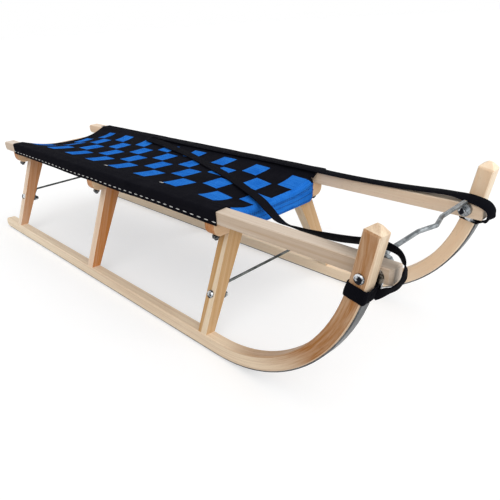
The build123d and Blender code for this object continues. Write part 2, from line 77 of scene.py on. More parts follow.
camera_data = bpy.data.cameras.new("camera")
camera_data.sensor_width = 36
camera_data.lens = 35.28
camera_data.shift_x = 0.0015
camera_data.shift_y = 0.0023
camera_data.clip_start = 0.01
camera = bpy.data.objects.new("camera", camera_data)
scene.collection.objects.link(camera)
turned = Matrix((right, up, -forwards)).transposed().to_4x4()
camera.matrix_world = Matrix.Translation(STAND_AT) @ turned
scene.camera = camera
print("camera looks down by", round(math.degrees(math.asin(-forwards.z)), 1), "degrees")

# %% [markdown]
# ## A small language for materials
#
# A material is a graph of nodes, and sums in it are easier to read as sums. The class
# `Value` wraps a node's output and turns +, - and * into Math nodes. The class `Finish`
# is one material: its `node` method adds any node, sets it up, and fills or links its
# sockets.

# %% Wrap the shader's sums
class Value:
    """A node's output that can stand in a sum."""

    def __init__(self, finish, socket):
        self.finish, self.socket = finish, socket

    def math(self, operation, *values):
        inputs = dict(enumerate(values))
        return self.finish.node("ShaderNodeMath", {"operation": operation}, inputs)

    def __add__(self, other):
        return self.math("ADD", self, other)

    def __radd__(self, other):
        return self.math("ADD", other, self)

    def __sub__(self, other):
        return self.math("SUBTRACT", self, other)

    def __rsub__(self, other):
        return self.math("SUBTRACT", other, self)

    def __mul__(self, other):
        return self.math("MULTIPLY", self, other)

    def __rmul__(self, other):
        return self.math("MULTIPLY", other, self)

    def __abs__(self):
        return self.math("ABSOLUTE", self)

    def sine(self):
        return self.math("SINE", self)

    def floor(self):
        return self.math("FLOOR", self)

    def fraction(self):
        return self.math("FRACT", self)

    def clamp(self):
        return self.math("MAXIMUM", self.math("MINIMUM", self, 1.0), 0.0)

    def ramp(self, start, end):
        """0 before start, 1 past end and smooth between; start may be past end."""
        settings = {"interpolation_type": "SMOOTHSTEP"}
        inputs = {"Value": self, "From Min": start, "From Max": end}
        return self.finish.node("ShaderNodeMapRange", settings, inputs)


class Finish:
    """One material and its nodes."""

    def __init__(self, name, **plain):
        self.material = bpy.data.materials.new(name)
        self.material.use_nodes = True
        self.tree = self.material.node_tree
        self.tree.nodes.clear()
        self.shader = self.tree.nodes.new("ShaderNodeBsdfPrincipled")
        output = self.tree.nodes.new("ShaderNodeOutputMaterial")
        self.tree.links.new(self.shader.outputs["BSDF"], output.inputs["Surface"])
        for socket, value in plain.items():
            self.shader.inputs[socket.replace("_", " ")].default_value = value

    def put(self, socket, value):
        if isinstance(value, Value):
            self.tree.links.new(value.socket, socket)
        elif isinstance(value, tuple) and len(value) == 3 and socket.type == "RGBA":
            socket.default_value = (*value, 1)
        else:
            socket.default_value = value

    def node(self, kind, settings=None, inputs=None, output=0):
        node = self.tree.nodes.new(kind)
        for name, value in (settings or {}).items():
            if name == "stops":
                self.set_stops(node.color_ramp, value)
            else:
                setattr(node, name, value)
        for key, value in (inputs or {}).items():
            self.put(node.inputs[key], value)
        return Value(self, node.outputs[output])

    def set_stops(self, ramp, stops):
        while len(ramp.elements) < len(stops):
            ramp.elements.new(1)
        for element, (position, colour) in zip(ramp.elements, stops):
            element.position = position
            element.color = (*colour, 1)

    def coordinates(self, output="Object"):
        place = self.node("ShaderNodeTexCoord", output=output)
        return [self.node("ShaderNodeSeparateXYZ", None, {0: place}, i) for i in range(3)]

    def uv(self):
        place = self.node("ShaderNodeUVMap", {"uv_map": "Weave"})
        return [self.node("ShaderNodeSeparateXYZ", None, {0: place}, i) for i in range(2)]

    def noise(self, x, y, z, detail=3.0, roughness=0.5):
        place = self.node("ShaderNodeCombineXYZ", None, {0: x, 1: y, 2: z})
        inputs = {"Vector": place, "Scale": 1.0, "Detail": detail, "Roughness": roughness}
        return self.node("ShaderNodeTexNoise", None, inputs)

    def colours(self, value, stops):
        return self.node("ShaderNodeValToRGB", {"stops": stops}, {0: value})

    def mix(self, first, second, share):
        inputs = {0: share, 6: first, 7: second}
        return self.node("ShaderNodeMix", {"data_type": "RGBA"}, inputs, 2)

    def bump(self, height, distance):
        inputs = {"Height": height, "Distance": distance, "Strength": 1.0}
        self.wear(Normal=self.node("ShaderNodeBump", None, inputs))

    def wear(self, **inputs):
        """Link what changes over the surface to the shader."""
        for name, value in inputs.items():
            self.put(self.shader.inputs[name.replace("_", " ")], value)


def paint(red, green, blue):
    """A colour as it is seen on a screen, turned into the shader's own scale."""
    parts = [part / 255 for part in (red, green, blue)]
    return tuple(p / 12.92 if p <= 0.04045 else ((p + 0.055) / 1.055) ** 2.4 for p in parts)


print("maths for materials is ready")

# %% [markdown]
# ## The pull strap's route
#
# The strap is one flat webbing, 20 mm wide. It leaves the wrap on the right horn, goes
# round the rail's front end, runs back over the seat, turns in a tight fold, and comes
# forwards along the left rail to the other horn. Each entry is a point of the route
# and the way the flat side faces there. A NURBS spline makes one smooth line of the
# points, and the ribbon follows that line.

# %% Points of the route and the way the flat side faces
STRAP_WIDTH = 0.020
STRAP_THICKNESS = 0.0016
STRAP_ROUTE = [
    ((0.5278, -0.1295, 0.1847), (0.52, -0.78, -0.36)),
    ((0.5448, -0.1240, 0.1935), (0.61, -0.48, -0.63)),
    ((0.5565, -0.1224, 0.2049), (0.85, -0.13, -0.50)),
    ((0.5616, -0.1221, 0.2195), (0.97, 0.24, -0.05)),
    ((0.5572, -0.1182, 0.2329), (0.64, 0.72, 0.27)),
    ((0.5430, -0.1122, 0.2387), (0.25, 0.78, 0.57)),
    ((0.5205, -0.1077, 0.2366), (-0.01, 0.77, 0.64)),
    ((0.4888, -0.1035, 0.2300), (-0.06, 0.70, 0.71)),
    ((0.4498, -0.0965, 0.2203), (-0.02, 0.74, 0.67)),
    ((0.4038, -0.0935, 0.2158), (-0.00, 0.64, 0.77)),
    ((0.3618, -0.0870, 0.2122), (0.06, 0.43, 0.90)),
    ((0.3258, -0.0630, 0.2064), (0.16, 0.40, 0.90)),
    ((0.2868, -0.0385, 0.2045), (0.16, 0.24, 0.96)),
    ((0.2574, -0.0250, 0.2085), (0.16, 0.17, 0.97)),
    ((0.2092, -0.0094, 0.2122), (0.14, 0.17, 0.98)),
    ((0.1579, 0.0052, 0.2175), (0.11, 0.12, 0.99)),
    ((0.1051, 0.0187, 0.2200), (0.06, 0.10, 0.99)),
    ((0.0440, 0.0365, 0.2208), (0.04, 0.09, 1.00)),
    ((-0.0190, 0.0550, 0.2212), (0.02, 0.03, 1.00)),
    ((-0.0819, 0.0665, 0.2218), (0.00, -0.05, 1.00)),
    ((-0.1324, 0.0765, 0.2230), (0.00, -0.10, 1.00)),
    ((-0.1686, 0.0800, 0.2238), (0.00, -0.15, 1.00)),
    ((-0.1889, 0.0818, 0.2240), (0.00, -0.20, 1.00)),
    ((-0.2010, 0.0858, 0.2248), (-0.20, -0.20, 0.95)),
    ((-0.2035, 0.0940, 0.2256), (-0.30, 0.05, 0.95)),
    ((-0.1960, 0.1002, 0.2256), (-0.15, 0.20, 0.97)),
    ((-0.1799, 0.1035, 0.2250), (0.00, 0.15, 1.00)),
    ((-0.1475, 0.1050, 0.2247), (0.00, 0.05, 1.00)),
    ((-0.0819, 0.1030, 0.2243), (0.00, 0.05, 1.00)),
    ((-0.0050, 0.1040, 0.2243), (0.00, 0.00, 1.00)),
    ((0.0780, 0.1040, 0.2244), (0.00, 0.00, 1.00)),
    ((0.1609, 0.1065, 0.2245), (0.00, 0.00, 1.00)),
    ((0.2408, 0.1065, 0.2243), (0.00, 0.00, 1.00)),
    ((0.3178, 0.1060, 0.2228), (0.00, 0.00, 1.00)),
    ((0.3888, 0.1100, 0.2225), (0.00, 0.00, 1.00)),
    ((0.4518, 0.1145, 0.2245), (0.00, 0.00, 1.00)),
    ((0.4978, 0.1145, 0.2280), (0.00, 0.00, 1.00)),
    ((0.5268, 0.1125, 0.2265), (0.07, -0.22, 0.97)),
    ((0.5470, 0.1105, 0.2235), (0.27, -0.29, 0.92)),
    ((0.5570, 0.1100, 0.2170), (0.78, -0.18, 0.59)),
    ((0.5580, 0.1105, 0.2090), (0.97, -0.12, -0.21)),
    ((0.5540, 0.1140, 0.2005), (0.67, -0.19, -0.72)),
    ((0.5455, 0.1210, 0.1945), (0.45, -0.09, -0.89)),
    ((0.5370, 0.1275, 0.1905), (0.01, -0.51, -0.86)),
]
print("points in the route:", len(STRAP_ROUTE))

# %% Draw the route as one smooth line
route_curve = bpy.data.curves.new("strap_route", "CURVE")
route_curve.dimensions = "3D"
route = route_curve.splines.new("NURBS")
route.points.add(len(STRAP_ROUTE) - 1)
for point, (place, facing) in zip(route.points, STRAP_ROUTE):
    point.co = (*place, 1)
route.order_u = 3
route.use_endpoint_u = True
route.resolution_u = 10

route_object = bpy.data.objects.new("strap_route", route_curve)
scene.collection.objects.link(route_object)
bpy.context.view_layer.update()
route_mesh = bpy.data.meshes.new_from_object(route_object)
strap_path = [vertex.co.copy() for vertex in route_mesh.vertices]
bpy.data.objects.remove(route_object)
strap_length = sum((b - a).length for a, b in zip(strap_path, strap_path[1:]))
print("strap:", len(strap_path), "points,", round(strap_length, 3), "m long")

# %% [markdown]
# ## Ribbons
#
# A bevelled curve is the quick way to a strap, but it rolls as it likes. Here each
# point of the line gets its own small frame instead: the tangent, the way that the
# flat side faces, and their cross product, which is the way across. An outline of ten
# points, swept through those frames, is webbing with soft edges. The UV map holds
# metres along and across, so that the weave keeps its size round every bend.

# %% Sweep a webbing outline along a line
def facing_along(path, route_points):
    """The facing at each point of the path, blended between the route's points."""
    nearest, start = [], 0
    for place, facing in route_points:
        span = range(start, len(path))
        start = min(span, key=lambda i: (path[i] - Vector(place)).length_squared)
        nearest.append((start, Vector(facing).normalized()))
    nearest[0] = (0, nearest[0][1])
    nearest[-1] = (len(path) - 1, nearest[-1][1])
    facings = []
    for i in range(len(path)):
        (i0, f0), (i1, f1) = next(
            (one, two)
            for one, two in zip(nearest, nearest[1:])
            if one[0] <= i <= two[0] or two is nearest[-1]
        )
        share = (i - i0) / max(1, i1 - i0)
        share = share * share * (3 - 2 * share)
        facings.append((f0 * (1 - share) + f1 * share).normalized())
    return facings


def ribbon(name, path, facings, width, thickness):
    """A flat strap along a path as a mesh object, closed at both ends."""
    w, t = width / 2, thickness / 2
    outline = [(-w, -0.5 * t), (-w + 0.6 * t, -t), (0, -t), (w - 0.6 * t, -t), (w, -0.5 * t)]
    outline += [(-a, -b) for a, b in outline]
    mesh = bmesh.new()
    weave = mesh.loops.layers.uv.new("Weave")
    rings, run, runs = [], 0.0, []
    for i, place in enumerate(path):
        before, after = path[max(0, i - 1)], path[min(len(path) - 1, i + 1)]
        run += (place - before).length if i else 0.0
        runs.append(run)
        tangent = (after - before).normalized()
        facing = (facings[i] - tangent * facings[i].dot(tangent)).normalized()
        across = facing.cross(tangent)
        rings.append([mesh.verts.new(place + across * a + facing * b) for a, b in outline])
    for i, (ring, following) in enumerate(zip(rings, rings[1:])):
        for j in range(len(outline)):
            k = (j + 1) % len(outline)
            face = mesh.faces.new((ring[j], ring[k], following[k], following[j]))
            sides = ((i, j), (i, k), (i + 1, k), (i + 1, j))
            for loop, (r, c) in zip(face.loops, sides):
                loop[weave].uv = (runs[r], outline[c][0])
            face.smooth = True
    mesh.faces.new(rings[0][::-1])
    mesh.faces.new(rings[-1])
    bmesh.ops.recalc_face_normals(mesh, faces=mesh.faces)
    return finish_mesh(name, mesh)


def finish_mesh(name, mesh):
    """Turn a bmesh into an object in the scene."""
    data = bpy.data.meshes.new(name)
    mesh.to_mesh(data)
    mesh.free()
    piece = bpy.data.objects.new(name, data)
    scene.collection.objects.link(piece)
    return piece


# %% Lay the strap
strap = ribbon(
    "strap",
    strap_path,
    facing_along(strap_path, STRAP_ROUTE),
    STRAP_WIDTH,
    STRAP_THICKNESS,
)
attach(strap, "root")
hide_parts("pull_strap")
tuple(STRAP_ROUTE[0][0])
print("strap has", len(strap.data.polygons), "faces")

# %% [markdown]
# ## The seat
#
# The seat is woven from flat webbing and pulled over both rails like a stocking, so it
# is one sheet: up the outside of one rail, over it, across in a shallow trough, and
# down the other rail. The sheet is built as a grid, because the grid can carry the
# pattern in its UV map: one unit for each square. Between the rails the free rear edge
# is drawn inwards, and the pattern bends with it.

# %% Sizes of the seat
RAIL_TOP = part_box("rail_right")[1][2]
RAIL_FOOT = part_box("rail_right")[0][2]
RAIL_OUTSIDE = -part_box("rail_right")[0][1]
RAIL_INSIDE = -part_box("rail_right")[1][1]
SEAT_REAR, SEAT_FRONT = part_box("seat")[0][0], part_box("seat")[1][0]
SEAT_THICKNESS = 1.7 * mm
SKIN_OFF_RAIL = 2.3 * mm        # from the wood to the sheet's outer skin
SEAT_TOP = RAIL_TOP + SKIN_OFF_RAIL
SEAT_SIDE = RAIL_OUTSIDE + SKIN_OFF_RAIL
SEAT_HEM = RAIL_FOOT - 1.0 * mm
SHOULDER = 3.0 * mm             # rounding over the rail's outer edge
ROLL_RADIUS = 8.0 * mm          # rounding over the front yoke
FLAP_FOOT = RAIL_FOOT - 27.0 * mm
FLAP_RIGHT, FLAP_LEFT = 97.0 * mm, 92.0 * mm
SQUARE_ALONG, SQUARE_ACROSS = 46.1 * mm, 44.7 * mm
FIRST_ALONG, FIRST_ACROSS = -441.8 * mm, -69.0 * mm
COLUMNS, ROWS = 16, 4           # squares in the pattern
BOW, BOW_LOSS = 22.6, 3.1       # mm of a thread's bow at column 7.5; loss per column
REAR_INSET, REAR_DRAW = 4.0 * mm, 25.0 * mm
DIP, DIP_REAR, DIP_FRONT = 4.5, 11.3, 14.0  # mm of the trough, and more at its ends


def falloff(distance, reach):
    return math.exp(-((distance / reach) ** 2))


def seat_shift(x, y):
    """How far a thread that crosses at x lies ahead of x, at y."""
    inside = 1 - min(1, (y / RAIL_INSIDE) ** 2)
    column = (x - FIRST_ALONG) / SQUARE_ALONG
    bow = max(0, BOW - BOW_LOSS * (column - 7.5)) * mm
    lean = 7.0 * mm * min(1, max(0, (0.25 - x) / 0.2))
    return bow * inside + lean * max(-1, min(1, y / RAIL_INSIDE))


def seat_start(run):
    """Where the sheet's rear edge starts, before the threads are drawn forwards."""
    inside = 1 - min(1, (run / RAIL_INSIDE) ** 2)
    return SEAT_REAR + REAR_INSET - REAR_DRAW * inside


def seat_dip(x, y):
    """Depth of the trough."""
    rear, front = falloff(x - SEAT_REAR, 0.060), falloff(SEAT_FRONT - x, 0.090)
    depth = (DIP + DIP_REAR * rear + DIP_FRONT * front) * mm
    return depth * (1 - min(1, abs(y) / RAIL_INSIDE) ** (4 - 1.5 * rear))


def across_seat(run):
    """Place and outward direction at a run across the sheet from its middle line."""
    side = -1 if run < 0 else 1
    run = abs(run)
    flat = SEAT_SIDE - SHOULDER
    arc = SHOULDER * math.pi / 2
    if run <= flat:
        return side * run, 0.0, (0, 1)
    if run <= flat + arc:
        turn = (run - flat) / SHOULDER
        y, drop = flat + SHOULDER * math.sin(turn), SHOULDER * (1 - math.cos(turn))
        return side * y, drop, (side * math.sin(turn), math.cos(turn))
    return side * SEAT_SIDE, SHOULDER + run - flat - arc, (side, 0)


SEAT_RUN = SEAT_SIDE - SHOULDER + SHOULDER * math.pi / 2 + SEAT_TOP - SHOULDER - SEAT_HEM
print("webbing across the seat:", round(2 * SEAT_RUN, 3), "m")


def seat_point(x, run):
    """A point on the seat's outer skin, with the folds of the borders."""
    y, drop, (out_y, out_z) = across_seat(run)
    z = SEAT_TOP - drop - seat_dip(x, y)
    crumple = noise.noise(Vector((x * 18, run * 42, 3.7))) * 0.9
    crumple += noise.noise(Vector((x * 47, run * 90, 9.1))) * 0.35
    border = min(1, max(0, (abs(run) - 0.085) / 0.02))
    rolled = falloff(SEAT_FRONT - x, 0.025)
    puff = crumple * (0.25 + 0.55 * border + 0.9 * rolled) * mm
    side = 1 - out_z
    hem = side * noise.noise(Vector((x * 9, side * (1 if run > 0 else 5), 1.3))) * 1.0 * mm
    point = Vector((x + seat_shift(x, y), y, z))
    point += Vector((0, out_y, out_z)) * max(-0.4 * mm, puff)
    return point + Vector((0, 0, hem * max(0, drop) / 0.02))


# %% [markdown]
# The squares stand a little proud where one band of webbing lies on the other, and a
# groove shows where two bands meet. That is real relief, so it goes into the mesh, and
# only the threads are left to the material.

# %% Weave relief
def square_at(x, y):
    """Column and row of the pattern, in squares, at a place on the flat sheet."""
    slack = 17.0 * mm * min(1, max(0, (y - 0.040) / 0.03))
    slack *= falloff(max(0, x - FIRST_ALONG - 0.02), 0.055)
    column = (x - slack - FIRST_ALONG) / SQUARE_ALONG + 0.5
    return column, (y - FIRST_ACROSS) / SQUARE_ACROSS + 0.5


def weave_relief(column, row):
    """How far a square's middle stands proud of its grooves."""
    if not (0 <= column < COLUMNS and 0 <= row < ROWS):
        return 0.0
    a, b = 2 * abs(column % 1 - 0.5), 2 * abs(row % 1 - 0.5)
    over = (int(column) + int(row)) % 2 == 0
    crown = (1 - a**6) * (1 - b**6)
    return crown * (0.55 if over else 0.35) * mm


# %% Build the sheet
STEP_ALONG, STEP_ACROSS = 3.0 * mm, 2.8 * mm
ROLL_STEPS, HANG_STEPS = 5, 12


def steps(start, end, step):
    """Even steps of about one size, with both ends."""
    count = max(1, round((end - start) / step))
    return [start + (end - start) * i / count for i in range(count + 1)]


runs = steps(-SEAT_RUN, -FLAP_RIGHT, STEP_ACROSS)[:-1]
runs += steps(-FLAP_RIGHT, FLAP_LEFT, STEP_ACROSS)
runs += steps(FLAP_LEFT, SEAT_RUN, STEP_ACROSS)[1:]
body_end = SEAT_FRONT - ROLL_RADIUS
body_shares = steps(0, 1, STEP_ALONG / (body_end - SEAT_REAR))
tab_x = steps(body_end, SEAT_FRONT, STEP_ALONG)[1:]

sheet_mesh = bmesh.new()
weave = sheet_mesh.loops.layers.uv.new("Weave")
uv_of = {}


def add_vertex(point, column, row):
    vertex = sheet_mesh.verts.new(point)
    uv_of[vertex] = (column, row)
    return vertex


def add_strip(first, second):
    for a, b, c, d in zip(first, first[1:], second[1:], second):
        face = sheet_mesh.faces.new((a, d, c, b))
        for loop in face.loops:
            loop[weave].uv = uv_of[loop.vert]
        face.smooth = True


def sheet_row(places):
    row = []
    for x, run in places:
        column_row = square_at(x, run)
        lift = Vector((0, *across_seat(run)[2])) * weave_relief(*column_row)
        row.append(add_vertex(seat_point(x, run) + lift, *column_row))
    return row


rows = []
for share in body_shares:
    places = [(seat_start(run) * (1 - share) + body_end * share, run) for run in runs]
    rows.append(sheet_row(places))
for first, second in zip(rows, rows[1:]):
    add_strip(first, second)
last = rows[-1]
start = next(i for i, run in enumerate(runs) if run >= -FLAP_RIGHT - 1e-9)
end = next(i for i, run in enumerate(runs) if run >= FLAP_LEFT - 1e-9)
for part in (slice(0, start + 1), slice(end, len(runs))):
    before = last[part]
    for x in tab_x:
        following = sheet_row([(x, run) for run in runs[part]])
        add_strip(before, following)
        before = following

# The flap rolls over the yoke and hangs.
flap_runs = runs[start : end + 1]
before = last[start : end + 1]
flap_top = [vertex.co.copy() for vertex in before]
for i in range(1, ROLL_STEPS + 1):
    turn = math.pi / 2 * i / ROLL_STEPS
    ahead, down = ROLL_RADIUS * math.sin(turn), ROLL_RADIUS * (1 - math.cos(turn))
    following = []
    for corner, run in zip(flap_top, flap_runs):
        place = corner + Vector((ahead, 0, -down))
        following.append(add_vertex(place, COLUMNS + i * 0.05, square_at(0, run)[1]))
    add_strip(before, following)
    before = following
roll_foot = [vertex.co.copy() for vertex in before]
flap_feet = []
for run in flap_runs:
    rise = 15.0 * mm * min(1, max(0, (-run - 0.076) / 0.010))
    rise += 6.0 * mm * max(0, (run - 0.084) / 0.008) ** 2
    flap_feet.append(FLAP_FOOT + rise)


def flap_line(share):
    """Places across the hanging flap, a share of the way down, each with its run."""
    for corner, run, foot in zip(roll_foot, flap_runs, flap_feet):
        wave = noise.noise(Vector((run * 25, share * 1.5, 6.1))) * 1.1 * mm * share
        x = corner.x - 1.2 * mm * share + min(0.5 * mm, wave)
        yield x, corner.y, corner.z + (foot - corner.z) * share, run


for i in range(1, HANG_STEPS + 1):
    following = []
    for x, y, z, run in flap_line(i / HANG_STEPS):
        column = COLUMNS + 0.3 + (SEAT_TOP - z) / SQUARE_ALONG
        following.append(add_vertex(Vector((x, y, z)), column, square_at(0, run)[1]))
    add_strip(before, following)
    before = following

# %% Give the sheet its thickness
seat = finish_mesh("seat_cloth", sheet_mesh)
wall = seat.modifiers.new("thickness", "SOLIDIFY")
wall.thickness = SEAT_THICKNESS
wall.offset = -1
wall.use_even_offset = False

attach(seat, "root")
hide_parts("seat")
2 * SEAT_RUN

# %% [markdown]
# ## Stitches
#
# A seam is one stitch repeated, so it is a job for Geometry Nodes. The tree takes a
# line, spaces points along it, sets one small rounded stitch on each, and turns it
# along the line. Realize Instances makes plain faces of the copies. The tree has named
# inputs for the spacing and the stitch's sizes, so every seam can use it.

# %% Build the stitch tree
def build_stitch_tree():
    tree = bpy.data.node_groups.new("stitches", "GeometryNodeTree")
    inputs = (
        ("Line", "NodeSocketGeometry", None),
        ("Spacing", "NodeSocketFloat", 9 * mm),
        ("Length", "NodeSocketFloat", 5 * mm),
        ("Thickness", "NodeSocketFloat", 0.8 * mm),
        ("Thread", "NodeSocketMaterial", None),
    )
    sockets = {}
    for name, kind, value in inputs:
        socket = tree.interface.new_socket(name=name, in_out="INPUT", socket_type=kind)
        if value is not None:
            socket.default_value = value
        sockets[name] = socket.identifier
    tree.interface.new_socket(name="Stitches", in_out="OUTPUT", socket_type="NodeSocketGeometry")

    def add(kind, links=(), **settings):
        node = tree.nodes.new(kind)
        for key, value in settings.items():
            setattr(node, key, value)
        for key, source in dict(links).items():
            if isinstance(source, bpy.types.NodeSocket):
                tree.links.new(source, node.inputs[key])
            else:
                node.inputs[key].default_value = source
        return node

    given = add("NodeGroupInput").outputs
    line = add("GeometryNodeMeshToCurve", {"Mesh": given["Line"]}).outputs[0]
    spaced = add(
        "GeometryNodeResampleCurve", {"Curve": line, "Length": given["Spacing"]}, mode="LENGTH"
    ).outputs[0]
    tangent = add("GeometryNodeInputTangent").outputs[0]
    turn = add("FunctionNodeAlignRotationToVector", {"Vector": tangent}, axis="X").outputs[0]
    bead = add(
        "GeometryNodeMeshUVSphere", {"Segments": 6, "Rings": 5, "Radius": 0.5}
    ).outputs["Mesh"]
    size = add(
        "ShaderNodeCombineXYZ",
        {0: given["Length"], 1: given["Thickness"], 2: given["Thickness"]},
    ).outputs[0]
    copies = add(
        "GeometryNodeInstanceOnPoints",
        {"Points": spaced, "Instance": bead, "Rotation": turn, "Scale": size},
    ).outputs[0]
    plain = add("GeometryNodeRealizeInstances", {0: copies}).outputs[0]
    painted = add(
        "GeometryNodeSetMaterial", {"Geometry": plain, "Material": given["Thread"]}
    ).outputs[0]
    tree.links.new(painted, add("NodeGroupOutput").inputs[0])
    return tree, sockets


stitch_tree, stitch_inputs = build_stitch_tree()
print("stitch tree:", len(stitch_tree.nodes), "nodes")

# %% [markdown]
# ## Threads, metal and webbing
#
# Each finish starts from what the real surface has. Polyester thread is dull and
# twisted. Webbing is black but never flat: its ribs catch light, and it fades a little
# in patches. Zinc plating is bright and faintly cloudy, and the shoes are scratched
# along the way they slide.

# %% Thread
def thread_finish(name, colour):
    finish = Finish(name, Roughness=0.7, Specular_IOR_Level=0.2)
    x, y, z = finish.coordinates()
    twist = ((x + y * 0.7 + z * 0.5) * (2 * math.pi / 0.0012)).sine() * 0.5 + 0.5
    soil = finish.noise(x * 60, y * 60, z * 60, 3)
    dark = tuple(part * 0.55 for part in colour)
    finish.wear(Base_Color=finish.mix(dark, colour, (twist * 0.5 + soil * 0.5 + 0.15).clamp()))
    finish.bump(twist, 0.15 * mm)
    return finish.material


white_thread = thread_finish("white_thread", paint(225, 225, 222))
blue_thread = thread_finish("blue_thread", paint(4, 34, 98))
print("threads:", white_thread.name, "and", blue_thread.name)

# %% Webbing of the pull strap and the wraps
def webbing_finish(name, low, high):
    finish = Finish(name, Specular_IOR_Level=0.006)
    along, across = finish.uv()
    rib = (along * (2 * math.pi / 0.0016)).sine() * 0.5 + 0.5
    cords = (across * (2 * math.pi / 0.0021)).sine() * 0.5 + 0.5
    threads = rib * 0.6 + cords * 0.4
    patches = finish.noise(along * 22, across * 60, 0.0, 4, 0.6)
    fuzz = finish.noise(along * 900, across * 900, 2.0, 2)
    edge = abs(across).ramp(0.0080, 0.0098)
    shade = (threads * 0.45 + patches * 0.4 + fuzz * 0.25 + edge * 0.12).clamp()
    finish.wear(
        Base_Color=finish.colours(shade, [(0.2, low), (0.9, high)]),
        Roughness=(0.72 - threads * 0.22 + patches * 0.1).clamp(),
    )
    finish.bump(threads + fuzz * 0.4, 0.25 * mm)
    return finish.material


strap_black = webbing_finish("strap_black", paint(4, 4, 6), paint(24, 24, 30))
strap.data.materials.append(strap_black)
print("nodes in the webbing's finish:", len(strap_black.node_tree.nodes))

# %% [markdown]
# The seat's colours come from its UV map, where one unit is one square. A square is
# blue where the blue band lies on top, which is where column and row add up to an even
# number. The band is narrower than its square, and the gap at its edge is black.

# %% Woven squares
BAND_ALONG, BAND_ACROSS = 18.1, 19.4  # half of a blue band's sizes, in mm
FLAP_COLUMN = 15.885                  # the flap's plain blue starts here


def seat_finish():
    finish = Finish("seat_weave", Specular_IOR_Level=0.005)
    column, row = finish.uv()
    off_along = abs(column.fraction() - 0.5) * (SQUARE_ALONG / mm)
    off_across = abs(row.fraction() - 0.5) * (SQUARE_ACROSS / mm)
    wobble = finish.noise(column * 7, row * 7, 0.0, 2) * 1.2 - 0.6
    parity = ((column.floor() + row.floor()) * 0.5).fraction()
    band = (off_along + wobble).ramp(BAND_ALONG + 0.5, BAND_ALONG)
    band = band * (off_across + wobble).ramp(BAND_ACROSS + 0.5, BAND_ACROSS)
    field = column.ramp(-0.001, 0.0) * column.ramp(COLUMNS, COLUMNS - 0.001)
    field = field * row.ramp(-0.001, 0.0) * row.ramp(ROWS, ROWS - 0.001)
    over = parity.ramp(0.3, 0.2)
    inside = band * over * field
    slant = row + (COLUMNS + 0.45 - column).clamp() * 0.45
    flap = column.ramp(FLAP_COLUMN, FLAP_COLUMN + 0.015)
    flap = flap * row.ramp(-0.15, -0.14) * slant.ramp(ROWS + 0.11, ROWS + 0.10)
    blue = (inside + flap).clamp()

    along, across = column * SQUARE_ALONG, row * SQUARE_ACROSS
    rib_along = (along * (2 * math.pi / 0.0017)).sine() * 0.5 + 0.5
    rib_across = (across * (2 * math.pi / 0.0014)).sine() * 0.5 + 0.5
    threads = rib_along * (1 - over * 0.65) + rib_across * (0.35 + over * 0.65)
    patches = finish.noise(along * 26, across * 26, 4.0, 5, 0.6)
    fuzz = finish.noise(along * 800, across * 800, 7.0, 2)
    streaks = finish.noise(along * 20, across * 500, 1.0, 3) * over
    streaks = streaks + finish.noise(along * 500, across * 20, 5.0, 3) * (1 - over)
    shade = (threads * 0.28 + patches * 0.4 + streaks * 0.35 + fuzz * 0.15 - 0.1).clamp()
    black_stops = [(0.15, paint(6, 6, 8)), (0.6, paint(20, 20, 26)), (1.0, paint(40, 39, 44))]
    blue_stops = [(0.1, paint(6, 50, 128)), (0.45, paint(18, 96, 194)), (0.75, paint(58, 140, 228))]
    colour = finish.mix(
        finish.colours(shade, black_stops), finish.colours(shade, blue_stops), blue
    )
    finish.wear(
        Base_Color=colour,
        Roughness=(0.78 - threads * 0.15 + patches * 0.08).clamp(),
    )
    finish.bump(threads * 0.5 + fuzz * 0.3 + streaks * 0.5, 0.3 * mm)
    return finish.material


seat.data.materials.append(seat_finish())
print("squares in the seat's pattern:", COLUMNS, "by", ROWS)

# %% [markdown]
# ## The seams on the seat
#
# White running stitches hold the hem along each rail. The flap in front has four rows
# in its own blue. Two white tacks hold bands at the edge of the pattern.

# %% Sew the seams
HEM_SEAM = 5.5 * mm             # from the hem's edge up to its stitches
FLAP_SEAMS = (0.10, 0.20, 0.52, 0.88)
TACK_COLUMNS, TACK_RUN = (8, 12), -92.5 * mm


def seam(name, points, material, spacing, length, thickness):
    """A row of stitches along a line, as a plain mesh."""
    line = bpy.data.meshes.new(name + "_line")
    line.from_pydata(points, [(i, i + 1) for i in range(len(points) - 1)], [])
    holder = bpy.data.objects.new(name + "_line", line)
    scene.collection.objects.link(holder)
    nodes = holder.modifiers.new("stitches", "NODES")
    nodes.node_group = stitch_tree
    values = {"Spacing": spacing, "Length": length, "Thickness": thickness, "Thread": material}
    for key, value in values.items():
        nodes[stitch_inputs[key]] = value
    bpy.context.view_layer.update()
    graph = bpy.context.evaluated_depsgraph_get()
    mesh = bpy.data.meshes.new_from_object(holder.evaluated_get(graph))
    bpy.data.objects.remove(holder)
    for face in mesh.polygons:
        face.use_smooth = True
    piece = bpy.data.objects.new(name, mesh)
    scene.collection.objects.link(piece)
    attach(piece, "root")
    return piece


def skin(x, run, lift=0.2 * mm):
    """A point just off the seat's outer skin."""
    return seat_point(x, run) + Vector((0, *across_seat(run)[2])) * lift


hem_run = SEAT_RUN - HEM_SEAM
hem_x = steps(SEAT_REAR + 10 * mm, SEAT_FRONT - 4 * mm, 6 * mm)
for side, name in ((-1, "right"), (1, "left")):
    line = [skin(x, side * hem_run) for x in hem_x]
    seam(f"hem_stitches_{name}", line, white_thread, 16.5 * mm, 10.0 * mm, 1.6 * mm)

for number, share in enumerate(FLAP_SEAMS):
    line = [Vector((x + 0.15 * mm, y, z)) for x, y, z, run in flap_line(share)]
    seam(f"flap_stitches_{number}", line, blue_thread, 4.4 * mm, 3.3 * mm, 1.0 * mm)

